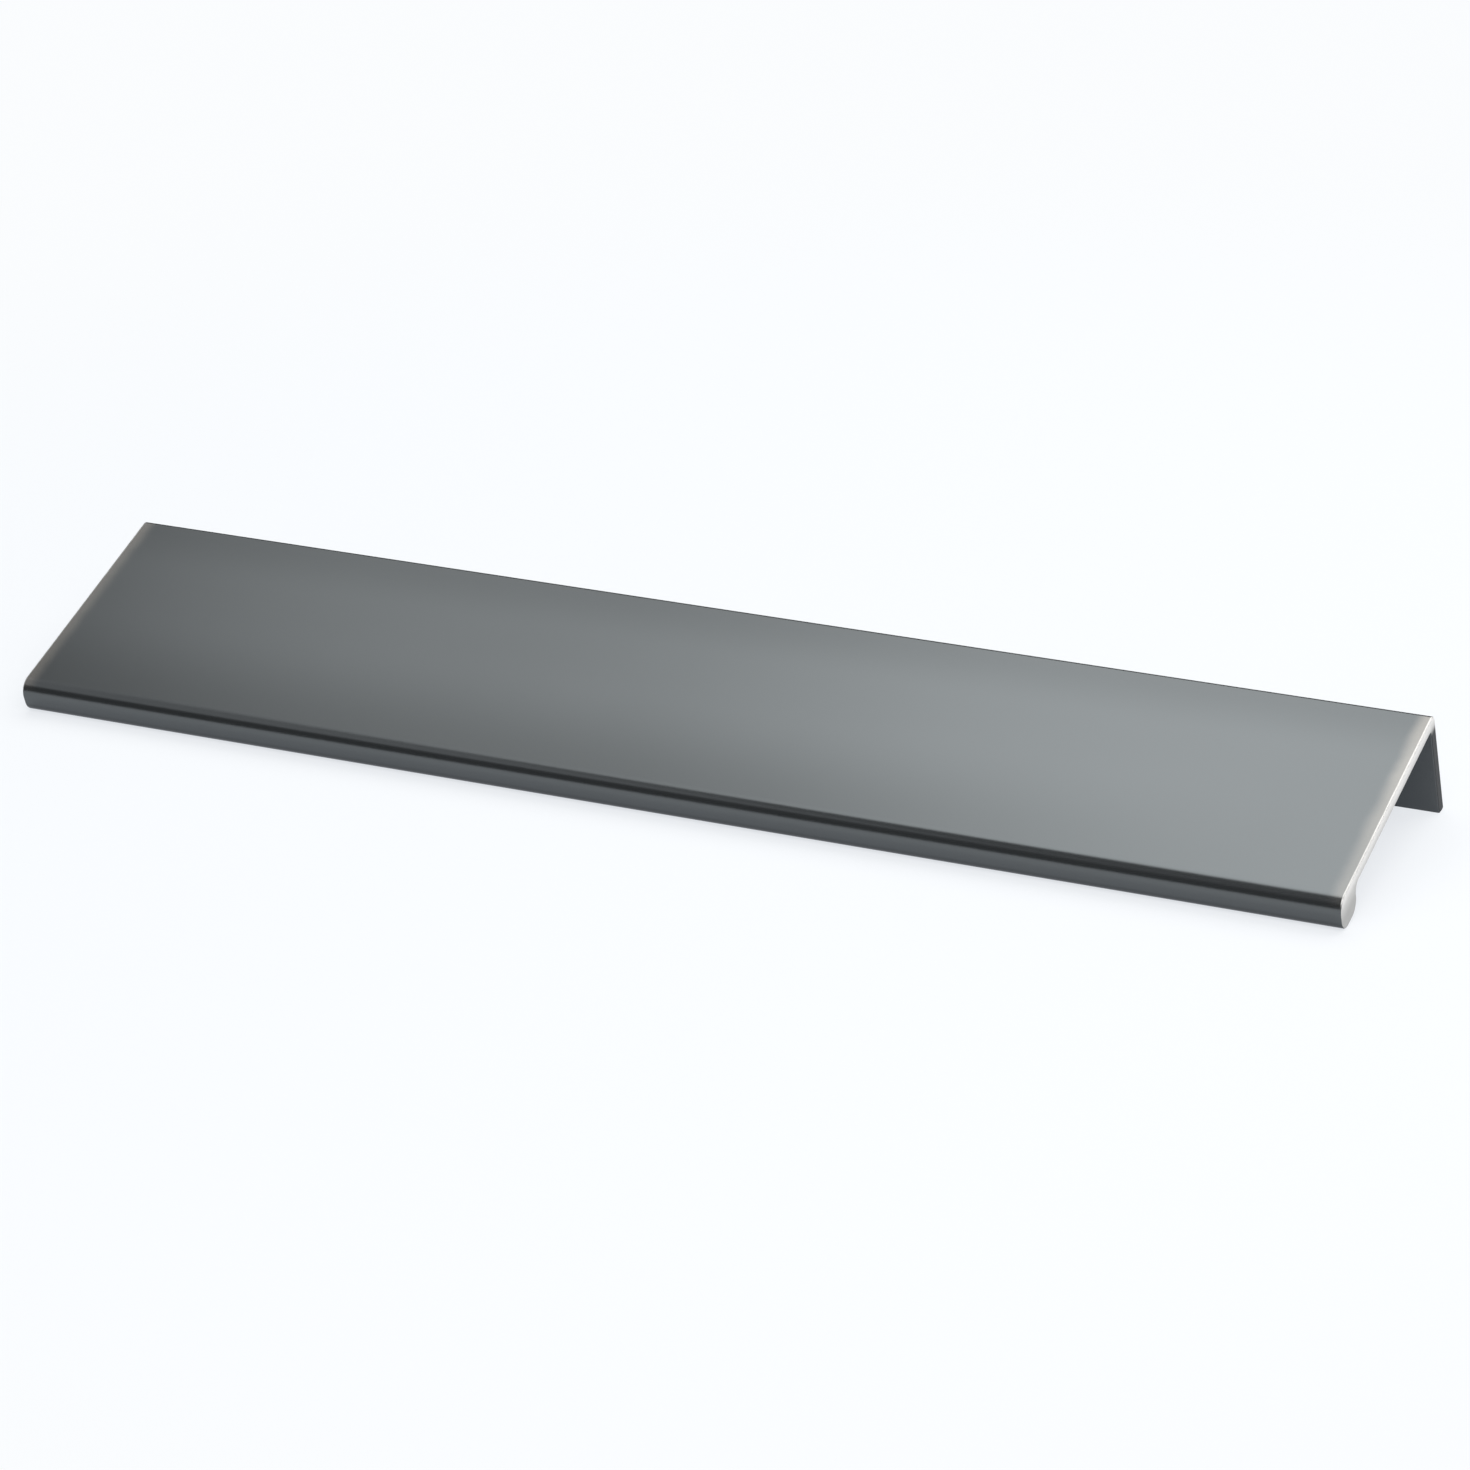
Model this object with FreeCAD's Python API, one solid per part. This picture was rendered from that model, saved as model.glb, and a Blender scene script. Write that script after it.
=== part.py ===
import FreeCAD, Part
import math
import os

# Tab pull for the top edge of a cabinet door or drawer front, made as one metal section cut to length.
# The plate lies on the edge of the door, the leg hangs down behind the door and is screwed to it,
# and the finger lip hangs down in front of it.
#
# Frame, in millimetres: X runs along the pull, Y points from the finger lip to the leg, Z points up.
# The origin is midway between the screw holes, on the face of the leg that bears on the door.

# Overall sizes
pull_length = 203.2
pull_depth = 40.0
leg_height = 17.0
lip_height = 5.4

# Walls
plate_thickness = 1.8
leg_thickness = 1.8
lip_depth = 5.9

# Rounded edges of the section
nose_radius = 2.2
lip_front_radius = 2.2
lip_back_radius = 2.1
lip_root_radius = 1.4
heel_radius = 1.0
seat_radius = 0.4
leg_tip_radius = 0.25

# Rounding of the two cut ends
end_edge_radius = 0.2

# Screw holes in the leg, for small countersunk screws
screw_count = 2
screw_spacing = 160.0
screw_drop = 7.8
screw_hole_radius = 1.75
screw_head_radius = 3.0
countersink_angle = 90.0

# Most of a side that its two roundings may take up between them
SIDE_SHARE = 0.98

# A face narrower than this along X is one of the two cut ends
FLAT = 0.001

# How far a cutter starts before the metal and ends after it
PAST_FACE = 1.0

# Places in the section, worked out from the sizes above
seat_z = screw_drop
top_z = seat_z + plate_thickness
leg_tip_z = top_z - leg_height
lip_tip_z = top_z - lip_height
back_y = leg_thickness
nose_y = back_y - pull_depth
lip_back_y = nose_y + lip_depth


def corner_arc(before, corner, after, radius):
    """Start, middle and end of the arc that rounds a corner between two straight sides."""
    toward_before = (before - corner).normalize()
    toward_after = (after - corner).normalize()
    half_angle = toward_before.getAngle(toward_after) / 2
    reach = radius / math.tan(half_angle)
    to_centre = (toward_before + toward_after).normalize()
    middle = corner + to_centre * (radius / math.sin(half_angle) - radius)
    return corner + toward_before * reach, middle, corner + toward_after * reach


def rounded_outline(corners):
    """Closed wire through corners given as (y, z, radius), every corner rounded by its own radius."""
    points = [FreeCAD.Vector(0, y, z) for y, z, radius in corners]
    radii = [radius for y, z, radius in corners]
    count = len(corners)
    arcs = []
    for i in range(count):
        before, after = (i - 1) % count, (i + 1) % count
        # Two roundings that meet on a short side share it.
        share = min(
            (points[i] - points[near]).Length / (radii[i] + radii[near]) for near in (before, after)
        )
        radius = radii[i] * min(1, SIDE_SHARE * share)
        arcs.append(corner_arc(points[before], points[i], points[after], radius))
    edges = []
    for i, (start, middle, end) in enumerate(arcs):
        edges.append(Part.LineSegment(arcs[i - 1][2], start).toShape())
        edges.append(Part.Arc(start, middle, end).toShape())
    return Part.Wire(edges)


def section():
    """Cross-section of the pull: leg, plate and finger lip in one outline."""
    return rounded_outline([
        (back_y, leg_tip_z, leg_tip_radius),
        (back_y, top_z, heel_radius),
        (nose_y, top_z, nose_radius),
        (nose_y, lip_tip_z, lip_front_radius),
        (lip_back_y, lip_tip_z, lip_back_radius),
        (lip_back_y, seat_z, lip_root_radius),
        (0, seat_z, seat_radius),
        (0, leg_tip_z, leg_tip_radius),
    ])


def cut_length():
    """The section run along the whole length, with the sharp edges of both cut ends eased."""
    face = Part.Face(section())
    face.translate(FreeCAD.Vector(-pull_length / 2, 0, 0))
    bar = face.extrude(FreeCAD.Vector(pull_length, 0, 0))
    end_edges = []
    for face in bar.Faces:
        if face.BoundBox.XLength < FLAT:
            end_edges.extend(face.Edges)
    return bar.makeFillet(end_edge_radius, end_edges)


def screw_hole(x):
    """Cutter for one hole through the leg, countersunk from the back."""
    along_y = FreeCAD.Vector(0, 1, 0)
    shank = Part.makeCylinder(
        screw_hole_radius, leg_thickness + 2 * PAST_FACE, FreeCAD.Vector(x, -PAST_FACE, 0), along_y
    )
    slope = math.tan(math.radians(countersink_angle / 2))
    sink_depth = (screw_head_radius - screw_hole_radius) / slope
    sink = Part.makeCone(
        screw_hole_radius,
        screw_head_radius + PAST_FACE * slope,
        sink_depth + PAST_FACE,
        FreeCAD.Vector(x, back_y - sink_depth, 0),
        along_y,
    )
    return shank.fuse(sink)


def tab_pull():
    """The whole pull as one solid."""
    pull = cut_length()
    first_x = -screw_spacing * (screw_count - 1) / 2
    for i in range(screw_count):
        pull = pull.cut(screw_hole(first_x + i * screw_spacing))
    return pull.Solids[0]


pull = tab_pull()
os.makedirs("parts", exist_ok=True)
pull.exportStep("parts/tab_pull.step")
print("tab_pull valid", pull.isValid(), "volume", round(pull.Volume, 1), "box", pull.optimalBoundingBox())
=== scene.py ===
# %% [markdown]
# # A metal tab pull
#
# The object is a pull for the top edge of a cabinet door or drawer front. It is one metal section, cut to length: a
# flat plate that lies on the edge of the door, a leg behind it that takes two screws, and a rounded lip in front for
# the fingers. The metal is plated dark bronze, rubbed satin, and relieved to pale metal where it was cut.
#
# The imported model gives the exact place and size of everything, so it is loaded first and never moved. What follows
# builds a smoother mesh of the same form in the same place, gives that mesh its finish, and sets a white table under
# it. A helper here reads its box, and the size of what was built is printed at the very end.

# %% Load the imported model
import math

import bmesh
import bpy
from mathutils import Matrix, Vector


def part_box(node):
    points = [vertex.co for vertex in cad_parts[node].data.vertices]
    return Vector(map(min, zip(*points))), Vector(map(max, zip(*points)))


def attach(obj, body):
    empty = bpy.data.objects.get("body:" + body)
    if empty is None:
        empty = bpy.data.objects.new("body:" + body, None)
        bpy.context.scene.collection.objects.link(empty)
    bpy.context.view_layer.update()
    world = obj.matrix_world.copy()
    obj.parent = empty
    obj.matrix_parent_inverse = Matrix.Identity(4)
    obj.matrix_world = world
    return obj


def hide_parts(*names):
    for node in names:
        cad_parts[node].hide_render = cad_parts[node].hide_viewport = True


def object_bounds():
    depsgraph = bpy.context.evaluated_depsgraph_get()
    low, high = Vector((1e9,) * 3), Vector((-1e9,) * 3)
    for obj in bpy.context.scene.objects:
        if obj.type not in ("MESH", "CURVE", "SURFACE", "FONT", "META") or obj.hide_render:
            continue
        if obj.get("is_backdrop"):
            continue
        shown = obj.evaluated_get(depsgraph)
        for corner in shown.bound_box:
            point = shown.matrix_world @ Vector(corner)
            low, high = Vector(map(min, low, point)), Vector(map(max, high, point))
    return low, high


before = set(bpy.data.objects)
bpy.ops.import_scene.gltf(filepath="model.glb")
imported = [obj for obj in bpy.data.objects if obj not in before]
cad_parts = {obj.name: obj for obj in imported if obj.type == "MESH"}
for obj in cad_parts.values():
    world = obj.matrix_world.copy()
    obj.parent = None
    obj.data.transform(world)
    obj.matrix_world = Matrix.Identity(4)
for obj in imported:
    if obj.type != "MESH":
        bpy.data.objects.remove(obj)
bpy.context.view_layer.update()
MM = 0.001

# %% [markdown]
# The camera comes next, because everything after it is judged through it. It stands about 0.8 m away with a long lens,
# as a product photographer would do to keep parallel edges nearly parallel. A camera in Blender looks down its own -Z
# with +Y up, so a quaternion that tracks the target gives the aim, and one turn about the view axis gives the roll.
# The lens is in millimetres, as is the width of the sensor behind it.

# %% Camera
LENS = 137.32
SENSOR_WIDTH = 36
NEAREST, FURTHEST = 0.05, 20
CAMERA_PLACE = Vector((0.31923, -0.54688, 0.50548))
CAMERA_TARGET = Vector((0.0077, -0.02439, 0.0096))
CAMERA_ROLL = math.radians(-11.5065)

camera = bpy.data.objects.new("camera", bpy.data.cameras.new("camera"))
camera.data.lens = LENS
camera.data.sensor_width = SENSOR_WIDTH
camera.data.clip_start, camera.data.clip_end = NEAREST, FURTHEST
camera.rotation_mode = "QUATERNION"
camera.location = CAMERA_PLACE
aim = (CAMERA_TARGET - CAMERA_PLACE).to_track_quat("-Z", "Y")
camera.rotation_quaternion = aim @ Matrix.Rotation(CAMERA_ROLL, 3, "Z").to_quaternion()
bpy.context.scene.collection.objects.link(camera)
bpy.context.scene.camera = camera
print("camera distance, m:", round((CAMERA_TARGET - CAMERA_PLACE).length, 3))

# %% [markdown]
# ## The section
#
# A section like this comes off the tool as straight sides joined by roundings, each with its own radius. The same few
# numbers describe it here. The outside of the plate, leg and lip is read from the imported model, and the wall
# thicknesses and radii are written once, in metres. Building the outline from corners and radii is better than placing
# its points by hand, because every rounding then meets its sides without a kink, and metal shows the smallest kink.

# %% Sizes of the section
plate_thickness = 1.8 * MM
leg_thickness = 1.8 * MM
lip_height = 5.4 * MM
lip_depth = 5.9 * MM
nose_radius = 2.2 * MM
lip_front_radius = 2.2 * MM
lip_back_radius = 2.1 * MM
lip_root_radius = 1.4 * MM
heel_radius = 1.0 * MM
seat_radius = 0.4 * MM
leg_tip_radius = 0.25 * MM

box_low, box_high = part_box("tab_pull")
half_length = box_high.x
back_y, nose_y = box_high.y, box_low.y
top_z, leg_tip_z = box_high.z, box_low.z
seat_z = top_z - plate_thickness
lip_tip_z = top_z - lip_height
lip_back_y = nose_y + lip_depth
leg_face_y = back_y - leg_thickness

# Corners of the section as (y, z, radius, turn), turn being +1 where metal fills the inside of the corner
# and -1 where the corner is hollow.
CORNERS = [
    (back_y, leg_tip_z, leg_tip_radius, 1),
    (back_y, top_z, heel_radius, 1),
    (nose_y, top_z, nose_radius, 1),
    (nose_y, lip_tip_z, lip_front_radius, 1),
    (lip_back_y, lip_tip_z, lip_back_radius, 1),
    (lip_back_y, seat_z, lip_root_radius, -1),
    (leg_face_y, seat_z, seat_radius, -1),
    (leg_face_y, leg_tip_z, leg_tip_radius, 1),
]
print("section corners:", len(CORNERS), "half length, mm:", round(half_length / MM, 2))

# %% [markdown]
# The cut ends are eased by a small rounding that runs all the way round the section. Seen along the pull, that rounding
# is the same outline again and again, each time a little further inside the metal. So the outline function takes an
# inset: sides move inward, outer radii shrink and hollow radii grow by the same amount, and the roundings stay true.

# %% Outline of the section at a given inset
STEPS_PER_MM = 6
FEWEST_STEPS = 5


def side_normals(points):
    """Unit normals of the sides of a closed outline, pointing into the metal."""
    normals = []
    for i, point in enumerate(points):
        along = (points[(i + 1) % len(points)] - point).normalized()
        normals.append(Vector((-along.y, along.x)))
    return normals


def rounded_outline(inset):
    """The section as a ring of 2-D points (y, z), moved into the metal by inset."""
    points = [Vector((y, z)) for y, z, radius, turn in CORNERS]
    normals = side_normals(points)
    ring = []
    for i, (y, z, radius, turn) in enumerate(CORNERS):
        into_before, into_after = normals[i - 1], normals[i]
        corner = points[i] + (into_before + into_after) * inset
        reach = radius - turn * inset
        centre = corner + (into_before + into_after) * turn * reach
        steps = max(FEWEST_STEPS, round(STEPS_PER_MM * radius / MM))
        for step in range(steps + 1):
            angle = math.pi / 2 * step / steps
            outward = -turn * (into_before * math.cos(angle) + into_after * math.sin(angle))
            ring.append(centre + outward * reach)
    return ring


section_ring = rounded_outline(0)
print("points round the section:", len(section_ring))

# %% [markdown]
# ## The solid metal
#
# The outline is repeated along X and neighbouring rings are joined by four-sided faces, as if the section were pushed
# through the tool. Rings at each end follow a quarter circle: as they near the cut face they sink into the metal, which
# makes the eased edge. A bevel modifier could ease it too, but it would also touch the screw holes, and the rings keep
# the faces in tidy rows. One flat face closes each end.

# %% Rings from end to end
end_edge_radius = 0.2 * MM
EDGE_STEPS = 6
LENGTH_STEPS = 20


def eased_end(side):
    """Pairs (x, inset) of one eased end, from the straight part out to the cut face."""
    places = []
    for step in range(EDGE_STEPS + 1):
        angle = math.pi / 2 * step / EDGE_STEPS
        x = half_length - end_edge_radius * (1 - math.sin(angle))
        inset = end_edge_radius * (1 - math.cos(angle))
        places.append((side * x, inset))
    return places


straight_end = half_length - end_edge_radius
middle = [(straight_end * (2 * i / LENGTH_STEPS - 1), 0.0) for i in range(1, LENGTH_STEPS)]
ring_plan = eased_end(-1)[::-1] + middle + eased_end(1)

mesh_maker = bmesh.new()
rings = []
for x, inset in ring_plan:
    rings.append([mesh_maker.verts.new((x, point.x, point.y)) for point in rounded_outline(inset)])
for before, after in zip(rings, rings[1:]):
    for i in range(len(before)):
        mesh_maker.faces.new((before[i - 1], before[i], after[i], after[i - 1]))
mesh_maker.faces.new(rings[0])
mesh_maker.faces.new(rings[-1])
bmesh.ops.recalc_face_normals(mesh_maker, faces=mesh_maker.faces)

pull = bpy.data.objects.new("satin_pull", bpy.data.meshes.new("satin_pull"))
mesh_maker.to_mesh(pull.data)
mesh_maker.free()
bpy.context.scene.collection.objects.link(pull)
print("rings:", len(rings), "faces:", len(pull.data.polygons))

# %% [markdown]
# ## The screw holes
#
# Two small countersunk screws hold the leg to the back of the door. A drill makes the hole and a countersink opens its
# mouth, so the cutter here is what those two tools sweep together: a profile turned about the drilling axis. Its first
# and last steps flare a little, which breaks the sharp rims as a deburring tool does.

# %% Turned cutter for one countersunk hole
screw_spacing = 160 * MM
screw_hole_radius = 1.75 * MM
screw_head_radius = 3.0 * MM
rim_break = 0.12 * MM
# The countersink reaches its full width this far below the back face, as a share of the rim's break.
SHOULDER = 0.4
HOLE_SIDES = 64
BREAK_STEPS = 4


def cutter_profile():
    """Pairs (radius, y) of the cutter, from in front of the leg to behind it."""
    sink_depth = screw_head_radius - screw_hole_radius
    profile = [(screw_hole_radius + 2 * rim_break, leg_face_y - rim_break)]
    for step in range(BREAK_STEPS + 1):
        angle = math.pi / 2 * step / BREAK_STEPS
        profile.append((
            screw_hole_radius + rim_break * (1 - math.sin(angle)),
            leg_face_y + rim_break * (1 - math.cos(angle)),
        ))
    profile.append((screw_hole_radius, back_y - sink_depth))
    profile.append((screw_head_radius - rim_break, back_y - rim_break))
    profile.append((screw_head_radius, back_y - SHOULDER * rim_break))
    profile.append((screw_head_radius + rim_break, back_y + rim_break))
    return profile


def turned_cutter(x):
    """A closed mesh object: the cutter's profile turned about the axis of the hole at x."""
    maker = bmesh.new()
    turns = []
    for radius, y in cutter_profile():
        turn = []
        for side in range(HOLE_SIDES):
            angle = 2 * math.pi * side / HOLE_SIDES
            turn.append(maker.verts.new((x + radius * math.cos(angle), y, radius * math.sin(angle))))
        turns.append(turn)
    for before, after in zip(turns, turns[1:]):
        for i in range(HOLE_SIDES):
            maker.faces.new((before[i - 1], before[i], after[i], after[i - 1]))
    maker.faces.new(turns[0])
    maker.faces.new(turns[-1])
    bmesh.ops.recalc_face_normals(maker, faces=maker.faces)
    cutter = bpy.data.objects.new("cutter", bpy.data.meshes.new("cutter"))
    maker.to_mesh(cutter.data)
    maker.free()
    bpy.context.scene.collection.objects.link(cutter)
    return cutter


# %% [markdown]
# The cutter is taken away from the metal with an exact boolean modifier, which leaves clean edges where two curved
# surfaces meet. The result is applied to the mesh at once, so that no modifier and no cutter stays behind.

# %% Cut the holes
def apply_modifiers(piece):
    """Turns what the modifiers make into the piece's own mesh."""
    evaluated = piece.evaluated_get(bpy.context.evaluated_depsgraph_get())
    made = bpy.data.meshes.new_from_object(evaluated)
    piece.modifiers.clear()
    piece.data = made


for hole_x in (-screw_spacing / 2, screw_spacing / 2):
    cutter = turned_cutter(hole_x)
    drill = pull.modifiers.new("drill", "BOOLEAN")
    drill.operation = "DIFFERENCE"
    drill.solver = "EXACT"
    drill.object = cutter
    apply_modifiers(pull)
    bpy.data.objects.remove(cutter)
print("faces after drilling:", len(pull.data.polygons))

# %% [markdown]
# ## Shading that stays flat where the metal is flat
#
# A mesh is shaded by normals blended between its corners. If they were simply averaged, the wide plate would look
# dished where it meets its roundings. Weighting each corner normal by the area of its faces lets the big flat faces
# win, so the plate mirrors like a flat sheet and only the roundings bend the reflection. Edges steeper than a set
# angle, such as the mouth of a countersink, stay crisp.

# %% Smooth shading with weighted normals
CRISP_ANGLE = math.radians(28)
pull.data.polygons.foreach_set("use_smooth", [True] * len(pull.data.polygons))
pull.data.set_sharp_from_angle(angle=CRISP_ANGLE)
weighted = pull.modifiers.new("weighted normals", "WEIGHTED_NORMAL")
weighted.mode = "FACE_AREA"
weighted.keep_sharp = True
apply_modifiers(pull)
print("sharp edges:", sum(edge.use_edge_sharp for edge in pull.data.edges))

# %% [markdown]
# The finished mesh now takes the place of the plain solid. It rides on the same body, and the plain solid stays hidden
# for the physics.

# %% Put the pull in place of the plain solid
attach(pull, "root")
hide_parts("tab_pull")

# %% [markdown]
# ## Helpers for the finish
#
# A procedural finish is a small network of nodes. Written out one node at a time, a network is long and hard to follow,
# so a few helpers come first. Each makes one node, feeds it with numbers or with the outputs of other nodes, and gives
# back its own output. The finish then reads like a row of sums. The first helpers work on single values and colours.

# %% Helpers for values and colours
def feed(tree, socket, value):
    """Links an output to the socket, or sets a plain value on it."""
    if isinstance(value, bpy.types.NodeSocket):
        tree.links.new(value, socket)
    else:
        socket.default_value = value


def maths(tree, operation, *values):
    """Output of a Math node fed with numbers or other outputs."""
    node = tree.nodes.new("ShaderNodeMath")
    node.operation = operation
    for socket, value in zip(node.inputs, values):
        feed(tree, socket, value)
    return node.outputs[0]


def what_is_left(tree, mask, loss=1.0):
    """1 less the mask times the loss: what is left where a mask takes something away."""
    return maths(tree, "SUBTRACT", 1.0, maths(tree, "MULTIPLY", mask, loss))


def soft_ramp(tree, value, start, end, at_start=0.0, at_end=1.0):
    """Output that goes smoothly from at_start to at_end while value goes from start to end."""
    node = tree.nodes.new("ShaderNodeMapRange")
    node.interpolation_type = "SMOOTHSTEP"
    for name, given in (
        ("Value", value), ("From Min", start), ("From Max", end), ("To Min", at_start), ("To Max", at_end),
    ):
        feed(tree, node.inputs[name], given)
    return node.outputs["Result"]


# A Mix node has a set of sockets for each kind of value, under the same names. These are the numbers of its factor and
# of those for colours.
MIX_FACTOR, MIX_FIRST, MIX_SECOND, MIX_RESULT = 0, 6, 7, 2


def mixed(tree, mask, first, second):
    """Colour that is first where the mask is 0 and second where it is 1."""
    node = tree.nodes.new("ShaderNodeMix")
    node.data_type = "RGBA"
    for index, value in ((MIX_FACTOR, mask), (MIX_FIRST, first), (MIX_SECOND, second)):
        feed(tree, node.inputs[index], value)
    return node.outputs[MIX_RESULT]


# %% [markdown]
# The next helpers work on the place of a point, which is a vector. Every mask below is made from the place in the
# object's own frame. That way the wear stays on the metal when the pull or the camera moves, and no texture map is
# needed.

# %% Helpers for places
def split(tree, place):
    """The three outputs X, Y and Z of a place."""
    node = tree.nodes.new("ShaderNodeSeparateXYZ")
    feed(tree, node.inputs[0], place)
    return node.outputs


def scaled(tree, vector, scale):
    """A vector or colour with each of its three numbers multiplied by its own scale."""
    node = tree.nodes.new("ShaderNodeVectorMath")
    node.operation = "MULTIPLY"
    feed(tree, node.inputs[0], vector)
    feed(tree, node.inputs[1], scale)
    return node.outputs[0]


def distance(tree, first, second):
    """Value of the distance between two places."""
    node = tree.nodes.new("ShaderNodeVectorMath")
    node.operation = "DISTANCE"
    feed(tree, node.inputs[0], first)
    feed(tree, node.inputs[1], second)
    return node.outputs["Value"]


NOISE_MIDDLE = 0.5


def noise(tree, place, size, detail=2.0, roughness=0.5):
    """Value of a Noise Texture, between 0 and 1, whose blobs are about size across."""
    node = tree.nodes.new("ShaderNodeTexNoise")
    feed(tree, node.inputs["Vector"], place)
    feed(tree, node.inputs["Scale"], maths(tree, "DIVIDE", 1.0, size))
    node.inputs["Detail"].default_value = detail
    node.inputs["Roughness"].default_value = roughness
    return node.outputs[0]


# %% [markdown]
# Each effect on the metal is a node group of its own, with named inputs and outputs. A group can be placed again with
# other values, tried by itself, or carried to another finish, and the material stays a short list of effects.

# %% Helpers for node groups
def node_group(name, inputs, outputs):
    """A new shader node group with named sockets, with what it is given and what it gives back."""
    group = bpy.data.node_groups.new(name, "ShaderNodeTree")
    for label, kind, value in inputs:
        socket = group.interface.new_socket(name=label, in_out="INPUT", socket_type=kind)
        if value is not None:
            socket.default_value = value
    for label in outputs:
        group.interface.new_socket(name=label, in_out="OUTPUT", socket_type="NodeSocketFloat")
    return group, group.nodes.new("NodeGroupInput").outputs, group.nodes.new("NodeGroupOutput").inputs


def placed(tree, group, **values):
    """The outputs of the group placed in a tree, its inputs given by name with _ for a space."""
    node = tree.nodes.new("ShaderNodeGroup")
    node.node_tree = group
    for label, value in values.items():
        feed(tree, node.inputs[label.replace("_", " ")], value)
    return node.outputs


# %% [markdown]
# ## Wear toward the cut ends
#
# Dark plating is thinnest where an edge is handled and rubbed, and a finisher often relieves it there on purpose. On
# this pull it happens at the two cut ends. The distance to the nearer end is half the length less the size of X, so the
# mask needs nothing but the place. A little noise added to that distance keeps the border from being a ruled line. The
# material places this group three times: on the sawn face itself, on the rubbed edge, and wide for the thinned plating.

# %% Group: end wear
end_wear, given, result = node_group(
    "end wear",
    [
        ("Place", "NodeSocketVector", None),
        ("Half Length", "NodeSocketFloat", half_length),
        ("Full Wear", "NodeSocketFloat", 0.2 * MM),
        ("No Wear", "NodeSocketFloat", 0.6 * MM),
        ("Raggedness", "NodeSocketFloat", 0.2 * MM),
        ("Rag Size", "NodeSocketFloat", 3 * MM),
    ],
    ["Mask"],
)
size_of_x = maths(end_wear, "ABSOLUTE", split(end_wear, given["Place"])["X"])
from_end = maths(end_wear, "SUBTRACT", given["Half Length"], size_of_x)
rag = maths(end_wear, "SUBTRACT", noise(end_wear, given["Place"], given["Rag Size"]), NOISE_MIDDLE)
ragged = maths(end_wear, "MULTIPLY_ADD", rag, given["Raggedness"], from_end)
worn_through = soft_ramp(end_wear, ragged, given["Full Wear"], given["No Wear"], at_start=1.0, at_end=0.0)
feed(end_wear, result["Mask"], worn_through)
print("group", end_wear.name, "nodes:", len(end_wear.nodes))

# %% [markdown]
# Not every part of an end is rubbed alike. The hand and the pad reach the plate, less so the finger lip below it, and
# hardly the leg, which sits behind the door and keeps a dark end; the black it gets is darker than the plating and is
# partly painted shade. So a second group says how much rubbing a place gets, from its Y and Z: all of it at the top, a
# share of it once a drop below the top is passed, and none on the leg. It also gives the distance below the top, which
# the material uses for a painted highlight that makes the sawn face paler near the rubbed edge than further down. Last,
# it gives a mask for the front corner at the right end, where painted shade makes the pale end dimmer and narrower.

# %% Group: rubbed share
rubbed_share, given, result = node_group(
    "rubbed share",
    [
        ("Place", "NodeSocketVector", None),
        ("Top Z", "NodeSocketFloat", top_z),
        ("Lip Share", "NodeSocketFloat", 0.75),
        ("Drop Start", "NodeSocketFloat", 1.2 * MM),
        ("Drop End", "NodeSocketFloat", 3.6 * MM),
        ("Leg Y", "NodeSocketFloat", leg_face_y),
        ("Leg Border", "NodeSocketFloat", -1.0 * MM),
        ("Leg Start", "NodeSocketFloat", 1.4 * MM),
        ("Leg End", "NodeSocketFloat", 2.8 * MM),
        ("Shaded Corner", "NodeSocketVector", (half_length, nose_y, top_z)),
        ("Shade Reach", "NodeSocketFloat", 30 * MM),
        ("Shade Core", "NodeSocketFloat", 6 * MM),
    ],
    ["Share", "Below Top", "Corner Shade"],
)
where = split(rubbed_share, given["Place"])
below_top = maths(rubbed_share, "SUBTRACT", given["Top Z"], where["Z"])
lowered = soft_ramp(rubbed_share, below_top, given["Drop Start"], given["Drop End"])
lip_kept = what_is_left(rubbed_share, lowered, what_is_left(rubbed_share, given["Lip Share"]))
behind_leg_face = maths(rubbed_share, "SUBTRACT", where["Y"], given["Leg Y"])
at_back = soft_ramp(rubbed_share, behind_leg_face, given["Leg Border"], 0.0)
down_leg = soft_ramp(rubbed_share, below_top, given["Leg Start"], given["Leg End"])
leg_kept = what_is_left(rubbed_share, at_back, down_leg)
feed(rubbed_share, result["Share"], maths(rubbed_share, "MULTIPLY", lip_kept, leg_kept))
feed(rubbed_share, result["Below Top"], below_top)
# Painted shade: the pale end is dimmed toward the front right corner, so its highlight is narrower there.
from_corner = distance(rubbed_share, given["Place"], given["Shaded Corner"])
corner_shade = soft_ramp(rubbed_share, from_corner, given["Shade Reach"], given["Shade Core"])
feed(rubbed_share, result["Corner Shade"], corner_shade)
print("group", rubbed_share.name, "nodes:", len(rubbed_share.nodes))

# %% [markdown]
# ## Satin grain
#
# Satin metal is rubbed along its length with a fine pad. What is left is a very fine grain drawn out along X. From a
# step away it is too fine to see as lines and only softens the sheen, so the group gives a height for a very weak Bump.
# Roughness is kept clear of it: fine lines in roughness come out coarse and wavy, like the figure in wood.

# %% Group: satin grain
satin_grain, given, result = node_group(
    "satin grain",
    [
        ("Place", "NodeSocketVector", None),
        ("Grain Width", "NodeSocketFloat", 0.12 * MM),
        ("Stretch", "NodeSocketVector", (0.004, 1.0, 1.0)),
    ],
    ["Height"],
)
along_grain = scaled(satin_grain, given["Place"], given["Stretch"])
fine = noise(satin_grain, along_grain, given["Grain Width"], detail=3.0, roughness=0.6)
feed(satin_grain, result["Height"], fine)
print("group", satin_grain.name, "nodes:", len(satin_grain.nodes))
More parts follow.
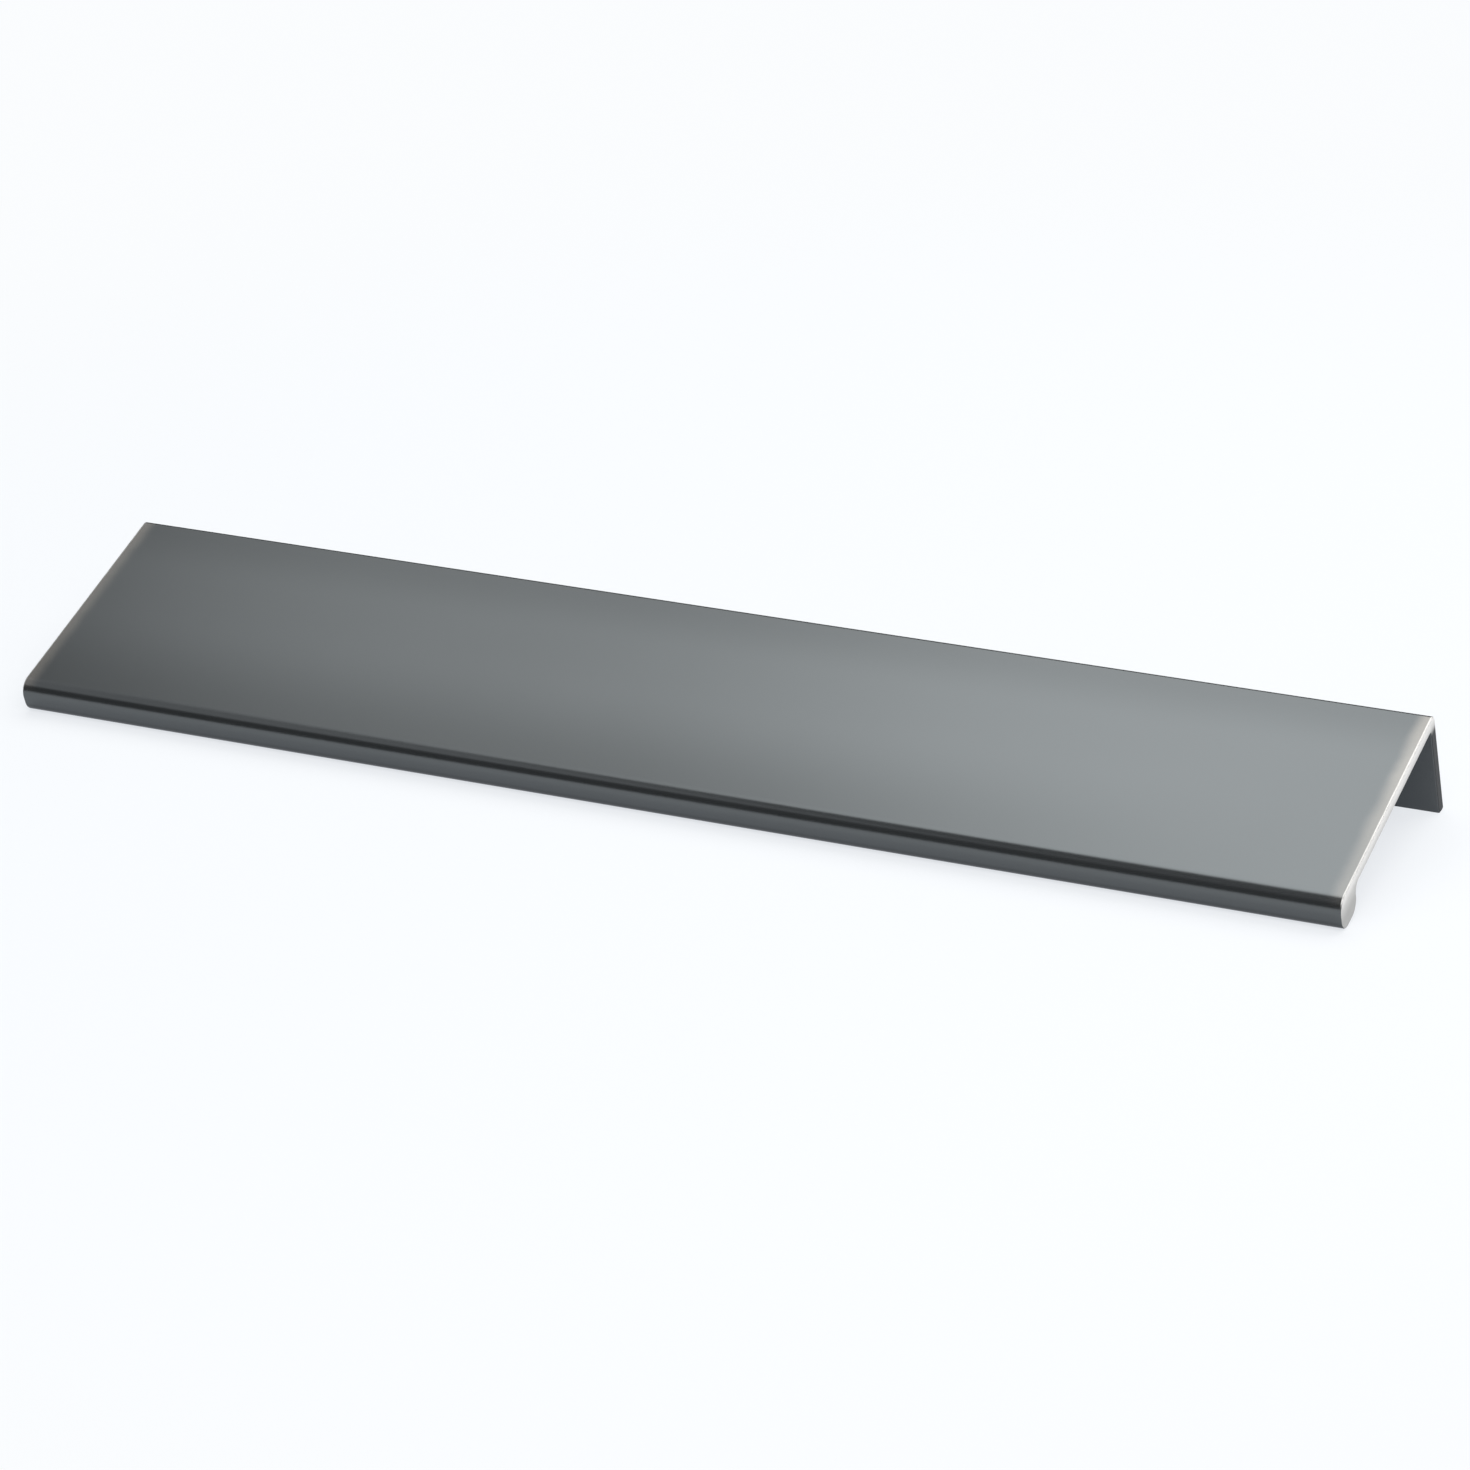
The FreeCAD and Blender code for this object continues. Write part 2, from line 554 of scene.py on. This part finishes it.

# %% [markdown]
# ## Painted shade along the edges
#
# The plate is painted darker along the front edge, here mostly toward the left end, and along the back edge. It is
# painted darkest in the shelter under the finger lip, where shade falls. All three are painted shade, not a change
# in the plating. Each of the three is a soft ramp of distance from its edge. The group multiplies what they leave into
# one factor.

# %% Group: edge darkening
painted_edge_shade, given, result = node_group(
    "painted edge shade",
    [
        ("Place", "NodeSocketVector", None),
        ("Edge Start", "NodeSocketFloat", 1 * MM),
        ("Front Y", "NodeSocketFloat", nose_y),
        ("Nose Start", "NodeSocketFloat", 0.8 * MM),
        ("Nose End", "NodeSocketFloat", 2.4 * MM),
        ("Front Reach", "NodeSocketFloat", 20 * MM),
        ("Left Reach", "NodeSocketFloat", 1.1 * half_length),
        ("Front Loss", "NodeSocketFloat", 0.27),
        ("Back Y", "NodeSocketFloat", back_y),
        ("Back Reach", "NodeSocketFloat", 11 * MM),
        ("Back Loss", "NodeSocketFloat", 0.14),
        ("Lip Z", "NodeSocketFloat", lip_tip_z),
        ("Under Start", "NodeSocketFloat", 2.3 * MM),
        ("Under End", "NodeSocketFloat", 1.4 * MM),
        ("Lip Reach", "NodeSocketFloat", 7 * MM),
        ("Lip End", "NodeSocketFloat", 6 * MM),
        ("Under Loss", "NodeSocketFloat", 0.42),
    ],
    ["Kept"],
)
where = split(painted_edge_shade, given["Place"])
behind_front = maths(painted_edge_shade, "SUBTRACT", where["Y"], given["Front Y"])
past_nose = soft_ramp(painted_edge_shade, behind_front, given["Nose Start"], given["Nose End"])
near_front = soft_ramp(painted_edge_shade, behind_front, given["Front Reach"], given["Edge Start"])
to_left = soft_ramp(painted_edge_shade, where["X"], given["Left Reach"], 0.0)
front_mask = maths(painted_edge_shade, "MULTIPLY", maths(painted_edge_shade, "MULTIPLY", past_nose, near_front), to_left)
front_kept = what_is_left(painted_edge_shade, front_mask, given["Front Loss"])

before_back = maths(painted_edge_shade, "SUBTRACT", given["Back Y"], where["Y"])
near_back = soft_ramp(painted_edge_shade, before_back, given["Back Reach"], given["Edge Start"])
back_kept = what_is_left(painted_edge_shade, near_back, given["Back Loss"])

above_tip = maths(painted_edge_shade, "SUBTRACT", where["Z"], given["Lip Z"])
low = soft_ramp(painted_edge_shade, above_tip, given["Under Start"], given["Under End"])
on_lip = soft_ramp(painted_edge_shade, behind_front, given["Lip Reach"], given["Lip End"])
under_kept = what_is_left(painted_edge_shade, maths(painted_edge_shade, "MULTIPLY", low, on_lip), given["Under Loss"])

top_kept = maths(painted_edge_shade, "MULTIPLY", front_kept, back_kept)
feed(painted_edge_shade, result["Kept"], maths(painted_edge_shade, "MULTIPLY", top_kept, under_kept))
print("group", painted_edge_shade.name, "nodes:", len(painted_edge_shade.nodes))

# %% [markdown]
# ## Uneven plating
#
# No plating is perfectly even: it drifts in tone over a few centimetres, and its gloss drifts with it. One broad noise
# serves both, because on real metal the paler patches are the ones that were rubbed a little more. The group gives the
# tone as a factor near 1, and the noise itself to steer roughness.

# %% Group: plating drift
plating_drift, given, result = node_group(
    "plating drift",
    [
        ("Place", "NodeSocketVector", None),
        ("Drift", "NodeSocketFloat", 0.06),
        ("Drift Size", "NodeSocketFloat", 25 * MM),
    ],
    ["Tone", "Blotch"],
)
blotch = noise(plating_drift, given["Place"], given["Drift Size"])
swing = maths(plating_drift, "SUBTRACT", blotch, NOISE_MIDDLE)
feed(plating_drift, result["Tone"], maths(plating_drift, "MULTIPLY_ADD", swing, given["Drift"], 1.0))
feed(plating_drift, result["Blotch"], blotch)
print("group", plating_drift.name, "nodes:", len(plating_drift.nodes))

# %% [markdown]
# ## The finish
#
# The finish is one metallic shader. Dark plating mirrors its surroundings as any metal does, so Metallic is 1 and only
# the colour is low. That gives the deep grey of the plate under a white sky of lamps. The colour starts as plating,
# toned by the drift and by the shade painted along the edges. The place is read from the Texture Coordinate node as
# Object, in metres.

# %% Material: plating
PLATING = (0.1165, 0.1245, 0.1280)

bronze = bpy.data.materials.new("dark_bronze_satin")
bronze.use_nodes = True
bronze_tree = bronze.node_tree
shader = bronze_tree.nodes["Principled BSDF"]
shader.inputs["Metallic"].default_value = 1.0
place = bronze_tree.nodes.new("ShaderNodeTexCoord").outputs["Object"]

drift = placed(bronze_tree, plating_drift, Place=place)
# The edge group paints shade into the colour: darker along the front and back edges and under the lip.
edges = placed(bronze_tree, painted_edge_shade, Place=place)
tone = maths(bronze_tree, "MULTIPLY", drift["Tone"], edges["Kept"])
drifted_and_shaded_plating = scaled(bronze_tree, PLATING, tone)

# %% [markdown]
# Wear is laid over the plating in the order in which it goes through it. First the plating thins over the last
# millimetres of the plate and lets a little warm metal through. Then the edge is rubbed bare. Each step is a colour
# mixed in by its own mask. The rubbed share keeps it on the plate and off the front of the lip, and painted shade at
# the front right corner takes some of it back.

# %% Material: thinned plating and rubbed edge
THIN_METAL = (0.70, 0.62, 0.54, 1)
THINNED_SHARE = 0.158
THINNED_CORNER_SHADE, WORN_CORNER_SHADE = 0.45, 0.18
RUBBED_METAL = (0.705, 0.69, 0.668, 1)

thinned = placed(
    bronze_tree, end_wear, Place=place,
    Full_Wear=0.4 * MM, No_Wear=2.6 * MM, Raggedness=0.9 * MM, Rag_Size=5 * MM,
)
worn = placed(
    bronze_tree, end_wear, Place=place,
    Full_Wear=0.02 * MM, No_Wear=0.32 * MM, Raggedness=0.10 * MM, Rag_Size=2 * MM,
)
on_plate = placed(
    bronze_tree, rubbed_share, Place=place, Lip_Share=0.0, Drop_Start=0.2 * MM, Drop_End=1.3 * MM,
)


def on_plate_mask(wear, corner_shade_loss):
    """The mask of a placed wear group, kept on the plate and dimmed by the painted shade at the front right corner."""
    kept = what_is_left(bronze_tree, on_plate["Corner Shade"], corner_shade_loss)
    return maths(bronze_tree, "MULTIPLY", maths(bronze_tree, "MULTIPLY", wear["Mask"], on_plate["Share"]), kept)


thin_share = maths(bronze_tree, "MULTIPLY", on_plate_mask(thinned, THINNED_CORNER_SHADE), THINNED_SHARE)
thin_plating = mixed(bronze_tree, thin_share, drifted_and_shaded_plating, THIN_METAL)
worn_mask = on_plate_mask(worn, WORN_CORNER_SHADE)
rubbed_plate = mixed(bronze_tree, worn_mask, thin_plating, RUBBED_METAL)

# %% [markdown]
# The sawn faces at the ends come last. The face is pale metal with a painted highlight that makes it brightest just
# under the rubbed edge. On the leg, where nothing reached it, it gets a black darker than the plating, which is partly
# painted shade. A saw leaves a rougher face than a pad does, so roughness rises there from the satin of the plate.
# Satin itself is about a quarter, which blurs the lamps into one broad sheen and still keeps the dark line along the
# nose.

# %% Material: sawn faces, roughness and grain
SAWN_PAINTED_HIGHLIGHT = (0.885, 0.862, 0.838, 1)
SAWN_DULL = (0.655, 0.643, 0.620, 1)
HIGHLIGHT_END, DULL_START = 0.2 * MM, 1.8 * MM
DARK_END_AND_SHADE = (0.030, 0.032, 0.035, 1)
SATIN_ROUGHNESS = (0.245, 0.255)
BLOTCH_RANGE = (0.2, 0.8)
SAWN_ROUGHNESS = 0.5
GRAIN_STRENGTH = 0.006
GRAIN_DEPTH = 0.01 * MM

sawn = placed(
    bronze_tree, end_wear, Place=place, Full_Wear=0.02 * MM, No_Wear=0.07 * MM, Raggedness=0.0,
)
reached = placed(bronze_tree, rubbed_share, Place=place)
# Painted highlight: the sawn face is paler near the top edge and duller further down.
down_face = soft_ramp(bronze_tree, reached["Below Top"], HIGHLIGHT_END, DULL_START)
highlit_pale_face = mixed(bronze_tree, down_face, SAWN_PAINTED_HIGHLIGHT, SAWN_DULL)
# Painted shade: on the leg the sawn end gets a black darker than the plating, and the lip's end a little of it.
sawn_face = mixed(bronze_tree, reached["Share"], DARK_END_AND_SHADE, highlit_pale_face)
feed(bronze_tree, shader.inputs["Base Color"], mixed(bronze_tree, sawn["Mask"], rubbed_plate, sawn_face))

satin = soft_ramp(bronze_tree, drift["Blotch"], *BLOTCH_RANGE, *SATIN_ROUGHNESS)
bare_mask = maths(bronze_tree, "MAXIMUM", worn_mask, sawn["Mask"])
feed(bronze_tree, shader.inputs["Roughness"], soft_ramp(bronze_tree, bare_mask, 0.0, 1.0, satin, SAWN_ROUGHNESS))

bump = bronze_tree.nodes.new("ShaderNodeBump")
bump.inputs["Strength"].default_value = GRAIN_STRENGTH
bump.inputs["Distance"].default_value = GRAIN_DEPTH
feed(bronze_tree, bump.inputs["Height"], placed(bronze_tree, satin_grain, Place=place)["Height"])
feed(bronze_tree, shader.inputs["Normal"], bump.outputs["Normal"])
pull.data.materials.clear()
pull.data.materials.append(bronze)
print("nodes in the finish:", len(bronze_tree.nodes))

# %% [markdown]
# ## The table
#
# The pull lies on a white table on two rounded edges, the front of its lip and the tip of its leg. The table is the
# plane that touches both from below, so in the frame of the pull it is tilted by about 17 degrees. Its tilt follows
# from the centres and radii of the two edges, so nothing is placed by eye and the pull neither floats nor sinks.

# %% Where the table touches
lip_centre = Vector((nose_y + lip_front_radius, lip_tip_z + lip_front_radius))
leg_centre = Vector((back_y - leg_tip_radius, leg_tip_z + leg_tip_radius))
run = leg_centre - lip_centre
table_tilt = math.atan2(run.y, run.x) - math.asin((leg_tip_radius - lip_front_radius) / run.length)
table_up = Vector((0, -math.sin(table_tilt), math.cos(table_tilt)))
table_height = lip_centre.dot(table_up.yz) - lip_front_radius
to_table = Matrix.Translation(table_up * table_height) @ Matrix.Rotation(table_tilt, 4, "X")
print("table tilt, degrees:", round(math.degrees(table_tilt), 2))

# %% [markdown]
# The table top is a disc, so that it has no corner to show from any side. It is made of rings of faces and marked as
# stage, because it isn't part of the pull.

# %% Table top
TABLE_RINGS = (0.2, 0.5, 1.0, 2.5)
TABLE_SIDES = 64

table_maker = bmesh.new()
centre = table_maker.verts.new((0, 0, 0))
inner = None
for radius in TABLE_RINGS:
    outer = []
    for side in range(TABLE_SIDES):
        angle = 2 * math.pi * side / TABLE_SIDES
        outer.append(table_maker.verts.new((radius * math.cos(angle), radius * math.sin(angle), 0)))
    for i in range(TABLE_SIDES):
        if inner is None:
            table_maker.faces.new((centre, outer[i - 1], outer[i]))
        else:
            table_maker.faces.new((inner[i - 1], outer[i - 1], outer[i], inner[i]))
    inner = outer
table = bpy.data.objects.new("table", bpy.data.meshes.new("table"))
table_maker.to_mesh(table.data)
table_maker.free()
table.matrix_world = to_table
bpy.context.scene.collection.objects.link(table)
table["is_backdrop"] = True
print("table faces:", len(table.data.polygons))

# %% [markdown]
# In a bright studio a white table is nearly as white as paper, and the shadow is only a breath of blue grey near the
# contact. So the table is part glow and part lit white. The glow sets how light the deepest shadow is, and the lit part
# takes the shadow. Only rays from the camera and from mirroring metal see the glow, so it puts no light on the pull.
# The metal sees a smaller share of it than the camera does. That keeps the front of the lip, which mirrors the table,
# as dark as plating should be.

# %% White finish: lit white under a glow
SHADE, SHADE_SHARE = (0.943, 0.972, 1.015, 1), 0.745
MIRRORED, MIRRORED_SHARE = (0.88, 0.93, 1.03, 1), 0.42
LIT = (0.72, 0.72, 0.70, 1)

white = bpy.data.materials.new("white_table")
white.use_nodes = True
white_tree = white.node_tree
white_tree.nodes.clear()
table_ray = white_tree.nodes.new("ShaderNodeLightPath")
by_camera, by_mirror = table_ray.outputs["Is Camera Ray"], table_ray.outputs["Is Glossy Ray"]


def one_over_other(tree, under, over, share):
    """Shader output that shows one shader over another by the given share."""
    mix = tree.nodes.new("ShaderNodeMixShader")
    for index, value in ((0, share), (1, under), (2, over)):
        feed(tree, mix.inputs[index], value)
    return mix.outputs[0]


def glow(tree, colour):
    """Shader output that shines in the colour at strength 1."""
    node = tree.nodes.new("ShaderNodeEmission")
    node.inputs["Color"].default_value = colour
    return node.outputs[0]


lit = white_tree.nodes.new("ShaderNodeBsdfDiffuse")
lit.inputs["Color"].default_value = LIT
seen_share = maths(white_tree, "MULTIPLY", by_camera, SHADE_SHARE)
mirrored_share = maths(white_tree, "MULTIPLY", by_mirror, MIRRORED_SHARE)
surface = one_over_other(white_tree, lit.outputs[0], glow(white_tree, SHADE), seen_share)
surface = one_over_other(white_tree, surface, glow(white_tree, MIRRORED), mirrored_share)

# %% [markdown]
# Further out the table fades into the white background, so no horizon shows. From below it isn't there at all, so that
# a view from under the table still shows the pull.

# %% White finish: fading out, and clear from below
BACKGROUND = (0.962, 0.977, 0.992, 1)
FADE_START, FADE_END = 0.115, 0.28

from_middle = white_tree.nodes.new("ShaderNodeVectorMath")
from_middle.operation = "LENGTH"
feed(white_tree, from_middle.inputs[0], white_tree.nodes.new("ShaderNodeTexCoord").outputs["Object"])
far_away = soft_ramp(white_tree, from_middle.outputs["Value"], FADE_START, FADE_END)
seen = maths(white_tree, "MAXIMUM", by_camera, by_mirror)
faded = maths(white_tree, "MULTIPLY", far_away, seen)
surface = one_over_other(white_tree, surface, glow(white_tree, BACKGROUND), faded)

table_side = white_tree.nodes.new("ShaderNodeNewGeometry")
from_below = maths(white_tree, "MULTIPLY", table_side.outputs["Backfacing"], by_camera)
clear = white_tree.nodes.new("ShaderNodeBsdfTransparent")
surface = one_over_other(white_tree, surface, clear.outputs[0], from_below)
table_output = white_tree.nodes.new("ShaderNodeOutputMaterial")
feed(white_tree, table_output.inputs["Surface"], surface)
table.data.materials.append(white)
print("nodes in the table's finish:", len(white_tree.nodes))

# %% [markdown]
# ## Studio light
#
# Satin metal shows its surroundings, so each lamp is placed by what the metal should mirror. The plate mirrors the sky
# behind the pull. Two large level soft boxes hang there, their left edges turned a little against each other. The edges
# blur in the satin, so together they make the plate rise in tone from left to right. They hang at different heights,
# because two lamps in one plane would hide each other.
#
# The nose mirrors the space straight above and in front, which is left empty and draws the dark line along it. The
# front of the lip mirrors the table, which a strong fill lights from in front. A dim box at the left keeps that end
# from going black, and a card at the right gives the cut ends something to mirror.
#
# A lamp is easier to think of by how bright it looks than by its watts. An area lamp of one watt per square metre looks
# 1/pi bright, so the power follows from brightness and area.

# %% Helpers for lamps
def soft_box(name, place, facing, turn, width, height, brightness, colour):
    """Area lamp at a place over the table, looking along facing and turned about that axis by turn degrees."""
    lamp = bpy.data.lights.new(name, "AREA")
    lamp.shape = "RECTANGLE"
    lamp.size, lamp.size_y = width, height
    lamp.energy = math.pi * width * height * brightness
    lamp.color = colour
    box = bpy.data.objects.new(name, lamp)
    look = Vector(facing).to_track_quat("-Z", "Y").to_matrix().to_4x4()
    spin = Matrix.Rotation(math.radians(turn), 4, "Z")
    box.matrix_world = to_table @ Matrix.Translation(place) @ look @ spin
    box.visible_camera = False
    bpy.context.scene.collection.objects.link(box)
    print(name, "watts:", round(lamp.energy, 1))


def overhead(name, corner, turn, width, height, brightness, colour):
    """A soft box that hangs level over the table, given by the place of its near left corner."""
    to_middle = Matrix.Rotation(math.radians(turn), 3, "Z") @ Vector((width / 2, height / 2, 0))
    soft_box(name, Vector(corner) + to_middle, (0, 0, -1), turn, width, height, brightness, colour)


# %% Lamps
overhead(
    "key_wide", corner=(-0.450, -0.13, 0.90), turn=21, width=1.70, height=1.25,
    brightness=1.38, colour=(0.985, 1.0, 1.0),
)
overhead(
    "key_bright", corner=(-0.355, -0.16, 0.94), turn=6, width=1.42, height=1.28,
    brightness=1.22, colour=(0.985, 1.0, 1.0),
)
overhead(
    "dim_left", corner=(-1.36, -0.95, 0.90), turn=0, width=0.95, height=1.32,
    brightness=0.52, colour=(0.97, 0.98, 1.0),
)
overhead(
    "fill_front", corner=(0.05, -1.22, 0.90), turn=0, width=1.10, height=1.00,
    brightness=4.4, colour=(0.99, 0.99, 1.0),
)
soft_box(
    "card_right", place=(1.75, 1.10, 0.50), facing=(-1.75, -1.10, -0.35), turn=0, width=1.5, height=0.8,
    brightness=1.1, colour=(1.0, 0.99, 0.98),
)

# %% [markdown]
# What the lamps leave open is the room. It is dim, so that the metal keeps its contrast, but not black. The camera
# alone sees the white background behind the table instead of the dim room.

# %% World
ROOM, ROOM_STRENGTH = (0.95, 0.97, 1.0, 1), 0.17

world = bpy.data.worlds.new("studio")
world.use_nodes = True
world_tree = world.node_tree
backdrop = world_tree.nodes["Background"]
backdrop.inputs["Color"].default_value = BACKGROUND
backdrop.inputs["Strength"].default_value = 1.0
room = world_tree.nodes.new("ShaderNodeBackground")
room.inputs["Color"].default_value = ROOM
room.inputs["Strength"].default_value = ROOM_STRENGTH
world_ray = world_tree.nodes.new("ShaderNodeLightPath")
sky = one_over_other(world_tree, room.outputs[0], backdrop.outputs[0], world_ray.outputs["Is Camera Ray"])
feed(world_tree, world_tree.nodes["World Output"].inputs["Surface"], sky)
bpy.context.scene.world = world
bpy.context.scene.view_settings.view_transform = "Standard"
print("room strength:", ROOM_STRENGTH)

# %% Size of what was built
low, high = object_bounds()
print("built, mm:", [round(v / MM, 2) for v in high - low])
